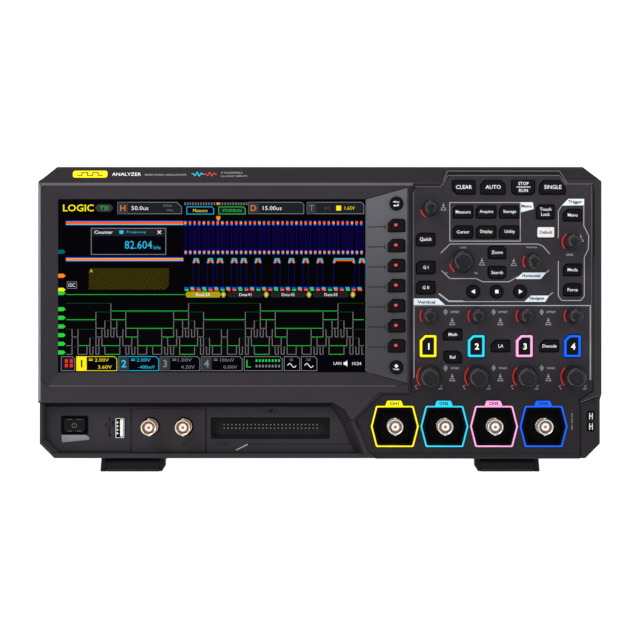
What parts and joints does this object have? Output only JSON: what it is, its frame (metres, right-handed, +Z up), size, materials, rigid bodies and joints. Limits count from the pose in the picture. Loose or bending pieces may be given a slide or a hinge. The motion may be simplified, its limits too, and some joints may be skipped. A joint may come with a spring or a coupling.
{
  "type": "logic analyzer",
  "caption": "Benchtop mixed-signal logic analyzer: wide touch screen, soft keys, knobs and keys, front input jacks, pod header, tilt legs and pull-up handle.",
  "frame": {"origin": "on the bench, under the middle of the case's bounding box", "axes": "+X to the right as seen from the front, +Y from the front to the back, +Z up"},
  "size_m": [0.367, 0.13, 0.199],
  "materials": {
    "front_plastic": "fine satin texture",
    "rear_plastic": "fine spark-eroded texture",
    "screen_glass": "gloss, lit display behind",
    "display_frame": "brushed",
    "fascia_plastic": "satin",
    "sheet_steel": "zinc plated",
    "circuit_board": "solder mask",
    "fan_plastic": "satin",
    "jack_metal": "nickel plated",
    "header_plastic": "satin",
    "socket_steel": "nickel plated",
    "port_plate_steel": "zinc plated",
    "handle_plastic": "satin grip",
    "leg_plastic": "matte",
    "key_rubber": "matte silicone",
    "white_key": "satin",
    "power_key_plastic": "satin",
    "channel_1_plastic": "backlit frame",
    "channel_2_plastic": "backlit frame",
    "channel_3_plastic": "backlit frame",
    "channel_4_plastic": "backlit frame",
    "knob_rubber": "soft touch"
  },
  "bodies": {
    "housing": {"front_panel": "front_plastic", "rear_cover": "rear_plastic", "touch_glass": "screen_glass", "lcd_module": "display_frame", "softkey_fascia": "fascia_plastic", "chassis_tray": "sheet_steel", "main_board": "circuit_board", "power_module": "circuit_board", "fan_frame": "fan_plastic", "input_bnc_block": "jack_metal", "generator_bnc_pair": "jack_metal", "logic_header": "header_plastic", "usb_port": "socket_steel", "probe_comp_terminals": "socket_steel", "rear_port_plate": "port_plate_steel", "mains_inlet": "header_plastic"},
    "carry_handle": {"carry_handle": "handle_plastic"},
    "front_leg_left": {"front_leg_left": "leg_plastic"},
    "front_leg_right": {"front_leg_right": "leg_plastic"},
    "fan_rotor": {"fan_rotor": "fan_plastic"},
    "multipurpose_knob": {"multipurpose_knob": "knob_rubber"},
    "horizontal_scale_knob": {"horizontal_scale_knob": "knob_rubber"},
    "horizontal_position_knob": {"horizontal_position_knob": "knob_rubber"},
    "trigger_level_knob": {"trigger_level_knob": "knob_rubber"},
    "offset_knob_1": {"offset_knob_1": "knob_rubber"},
    "scale_knob_1": {"scale_knob_1": "knob_rubber"},
    "offset_knob_2": {"offset_knob_2": "knob_rubber"},
    "scale_knob_2": {"scale_knob_2": "knob_rubber"},
    "offset_knob_3": {"offset_knob_3": "knob_rubber"},
    "scale_knob_3": {"scale_knob_3": "knob_rubber"},
    "offset_knob_4": {"offset_knob_4": "knob_rubber"},
    "scale_knob_4": {"scale_knob_4": "knob_rubber"},
    "quick_key": {"quick_key": "key_rubber"},
    "generator_1_key": {"generator_1_key": "key_rubber"},
    "generator_2_key": {"generator_2_key": "key_rubber"},
    "clear_key": {"clear_key": "key_rubber"},
    "auto_key": {"auto_key": "key_rubber"},
    "run_stop_key": {"run_stop_key": "key_rubber"},
    "single_key": {"single_key": "key_rubber"},
    "touch_lock_key": {"touch_lock_key": "key_rubber"},
    "default_key": {"default_key": "white_key"},
    "zoom_key": {"zoom_key": "key_rubber"},
    "search_key": {"search_key": "key_rubber"},
    "trigger_menu_key": {"trigger_menu_key": "key_rubber"},
    "trigger_mode_key": {"trigger_mode_key": "key_rubber"},
    "trigger_force_key": {"trigger_force_key": "key_rubber"},
    "math_key": {"math_key": "key_rubber"},
    "ref_key": {"ref_key": "key_rubber"},
    "logic_key": {"logic_key": "key_rubber"},
    "decode_key": {"decode_key": "key_rubber"},
    "nav_back_key": {"nav_back_key": "key_rubber"},
    "nav_stop_key": {"nav_stop_key": "key_rubber"},
    "nav_forward_key": {"nav_forward_key": "key_rubber"},
    "power_key": {"power_key": "power_key_plastic"},
    "softkey_keypad": {"softkey_keypad": "key_rubber"},
    "menu_keypad": {"menu_keypad": "key_rubber"},
    "channel_key_1": {"channel_key_1": "channel_1_plastic"},
    "channel_key_2": {"channel_key_2": "channel_2_plastic"},
    "channel_key_3": {"channel_key_3": "channel_3_plastic"},
    "channel_key_4": {"channel_key_4": "channel_4_plastic"}
  },
  "joints": [
    {"name": "handle_slide", "type": "slide", "parent": "housing", "child": "carry_handle", "axis": [0, 0, 1], "range_m": [0, 0.03]},
    {"name": "left_leg_hinge", "type": "hinge", "parent": "housing", "child": "front_leg_left", "pos_m": [-0.1217, -0.044, 0.0044], "axis": [-1, 0, 0], "range_deg": [0, 80]},
    {"name": "right_leg_hinge", "type": "hinge", "parent": "housing", "child": "front_leg_right", "pos_m": [0.1217, -0.044, 0.0044], "axis": [-1, 0, 0], "range_deg": [0, 80]},
    {"name": "fan_spin", "type": "hinge", "parent": "housing", "child": "fan_rotor", "pos_m": [0.112, 0.051, 0.105], "axis": [0, 1, 0], "continuous": true},
    {"name": "multipurpose_turn", "type": "hinge", "parent": "housing", "child": "multipurpose_knob", "pos_m": [0.0719, -0.055, 0.1717], "axis": [0, -1, 0], "continuous": true},
    {"name": "horizontal_scale_turn", "type": "hinge", "parent": "housing", "child": "horizontal_scale_knob", "pos_m": [0.0927, -0.055, 0.1372], "axis": [0, -1, 0], "continuous": true},
    {"name": "horizontal_position_turn", "type": "hinge", "parent": "housing", "child": "horizontal_position_knob", "pos_m": [0.1385, -0.055, 0.1372], "axis": [0, -1, 0], "continuous": true},
    {"name": "trigger_level_turn", "type": "hinge", "parent": "housing", "child": "trigger_level_knob", "pos_m": [0.164, -0.055, 0.1499], "axis": [0, -1, 0], "continuous": true},
    {"name": "offset_1_turn", "type": "hinge", "parent": "housing", "child": "offset_knob_1", "pos_m": [0.0714, -0.055, 0.1017], "axis": [0, -1, 0], "continuous": true},
    {"name": "scale_1_turn", "type": "hinge", "parent": "housing", "child": "scale_knob_1", "pos_m": [0.0714, -0.055, 0.062], "axis": [0, -1, 0], "continuous": true},
    {"name": "offset_2_turn", "type": "hinge", "parent": "housing", "child": "offset_knob_2", "pos_m": [0.1027, -0.055, 0.1017], "axis": [0, -1, 0], "continuous": true},
    {"name": "scale_2_turn", "type": "hinge", "parent": "housing", "child": "scale_knob_2", "pos_m": [0.1027, -0.055, 0.062], "axis": [0, -1, 0], "continuous": true},
    {"name": "offset_3_turn", "type": "hinge", "parent": "housing", "child": "offset_knob_3", "pos_m": [0.134, -0.055, 0.1017], "axis": [0, -1, 0], "continuous": true},
    {"name": "scale_3_turn", "type": "hinge", "parent": "housing", "child": "scale_knob_3", "pos_m": [0.134, -0.055, 0.062], "axis": [0, -1, 0], "continuous": true},
    {"name": "offset_4_turn", "type": "hinge", "parent": "housing", "child": "offset_knob_4", "pos_m": [0.1653, -0.055, 0.1017], "axis": [0, -1, 0], "continuous": true},
    {"name": "scale_4_turn", "type": "hinge", "parent": "housing", "child": "scale_knob_4", "pos_m": [0.1653, -0.055, 0.062], "axis": [0, -1, 0], "continuous": true},
    {"name": "quick_key_press", "type": "slide", "parent": "housing", "child": "quick_key", "axis": [0, 1, 0], "range_m": [0, 0.001], "stiffness_N_per_m": 800},
    {"name": "generator_1_key_press", "type": "slide", "parent": "housing", "child": "generator_1_key", "axis": [0, 1, 0], "range_m": [0, 0.001], "stiffness_N_per_m": 800},
    {"name": "generator_2_key_press", "type": "slide", "parent": "housing", "child": "generator_2_key", "axis": [0, 1, 0], "range_m": [0, 0.001], "stiffness_N_per_m": 800},
    {"name": "clear_key_press", "type": "slide", "parent": "housing", "child": "clear_key", "axis": [0, 1, 0], "range_m": [0, 0.001], "stiffness_N_per_m": 800},
    {"name": "auto_key_press", "type": "slide", "parent": "housing", "child": "auto_key", "axis": [0, 1, 0], "range_m": [0, 0.001], "stiffness_N_per_m": 800},
    {"name": "run_stop_key_press", "type": "slide", "parent": "housing", "child": "run_stop_key", "axis": [0, 1, 0], "range_m": [0, 0.001], "stiffness_N_per_m": 800},
    {"name": "single_key_press", "type": "slide", "parent": "housing", "child": "single_key", "axis": [0, 1, 0], "range_m": [0, 0.001], "stiffness_N_per_m": 800},
    {"name": "touch_lock_key_press", "type": "slide", "parent": "housing", "child": "touch_lock_key", "axis": [0, 1, 0], "range_m": [0, 0.001], "stiffness_N_per_m": 800},
    {"name": "default_key_press", "type": "slide", "parent": "housing", "child": "default_key", "axis": [0, 1, 0], "range_m": [0, 0.001], "stiffness_N_per_m": 800},
    {"name": "zoom_key_press", "type": "slide", "parent": "housing", "child": "zoom_key", "axis": [0, 1, 0], "range_m": [0, 0.001], "stiffness_N_per_m": 800},
    {"name": "search_key_press", "type": "slide", "parent": "housing", "child": "search_key", "axis": [0, 1, 0], "range_m": [0, 0.001], "stiffness_N_per_m": 800},
    {"name": "trigger_menu_key_press", "type": "slide", "parent": "housing", "child": "trigger_menu_key", "axis": [0, 1, 0], "range_m": [0, 0.001], "stiffness_N_per_m": 800},
    {"name": "trigger_mode_key_press", "type": "slide", "parent": "housing", "child": "trigger_mode_key", "axis": [0, 1, 0], "range_m": [0, 0.001], "stiffness_N_per_m": 800},
    {"name": "trigger_force_key_press", "type": "slide", "parent": "housing", "child": "trigger_force_key", "axis": [0, 1, 0], "range_m": [0, 0.001], "stiffness_N_per_m": 800},
    {"name": "math_key_press", "type": "slide", "parent": "housing", "child": "math_key", "axis": [0, 1, 0], "range_m": [0, 0.001], "stiffness_N_per_m": 800},
    {"name": "ref_key_press", "type": "slide", "parent": "housing", "child": "ref_key", "axis": [0, 1, 0], "range_m": [0, 0.001], "stiffness_N_per_m": 800},
    {"name": "logic_key_press", "type": "slide", "parent": "housing", "child": "logic_key", "axis": [0, 1, 0], "range_m": [0, 0.001], "stiffness_N_per_m": 800},
    {"name": "decode_key_press", "type": "slide", "parent": "housing", "child": "decode_key", "axis": [0, 1, 0], "range_m": [0, 0.001], "stiffness_N_per_m": 800},
    {"name": "nav_back_key_press", "type": "slide", "parent": "housing", "child": "nav_back_key", "axis": [0, 1, 0], "range_m": [0, 0.001], "stiffness_N_per_m": 800},
    {"name": "nav_stop_key_press", "type": "slide", "parent": "housing", "child": "nav_stop_key", "axis": [0, 1, 0], "range_m": [0, 0.001], "stiffness_N_per_m": 800},
    {"name": "nav_forward_key_press", "type": "slide", "parent": "housing", "child": "nav_forward_key", "axis": [0, 1, 0], "range_m": [0, 0.001], "stiffness_N_per_m": 800},
    {"name": "power_key_press", "type": "slide", "parent": "housing", "child": "power_key", "axis": [0, 1, 0], "range_m": [0, 0.001], "stiffness_N_per_m": 800},
    {"name": "softkey_keypad_press", "type": "slide", "parent": "housing", "child": "softkey_keypad", "axis": [0, 1, 0], "range_m": [0, 0.001], "stiffness_N_per_m": 800},
    {"name": "menu_keypad_press", "type": "slide", "parent": "housing", "child": "menu_keypad", "axis": [0, 1, 0], "range_m": [0, 0.001], "stiffness_N_per_m": 800},
    {"name": "channel_key_1_press", "type": "slide", "parent": "housing", "child": "channel_key_1", "axis": [0, 1, 0], "range_m": [0, 0.001], "stiffness_N_per_m": 800},
    {"name": "channel_key_2_press", "type": "slide", "parent": "housing", "child": "channel_key_2", "axis": [0, 1, 0], "range_m": [0, 0.001], "stiffness_N_per_m": 800},
    {"name": "channel_key_3_press", "type": "slide", "parent": "housing", "child": "channel_key_3", "axis": [0, 1, 0], "range_m": [0, 0.001], "stiffness_N_per_m": 800},
    {"name": "channel_key_4_press", "type": "slide", "parent": "housing", "child": "channel_key_4", "axis": [0, 1, 0], "range_m": [0, 0.001], "stiffness_N_per_m": 800}
  ]
}
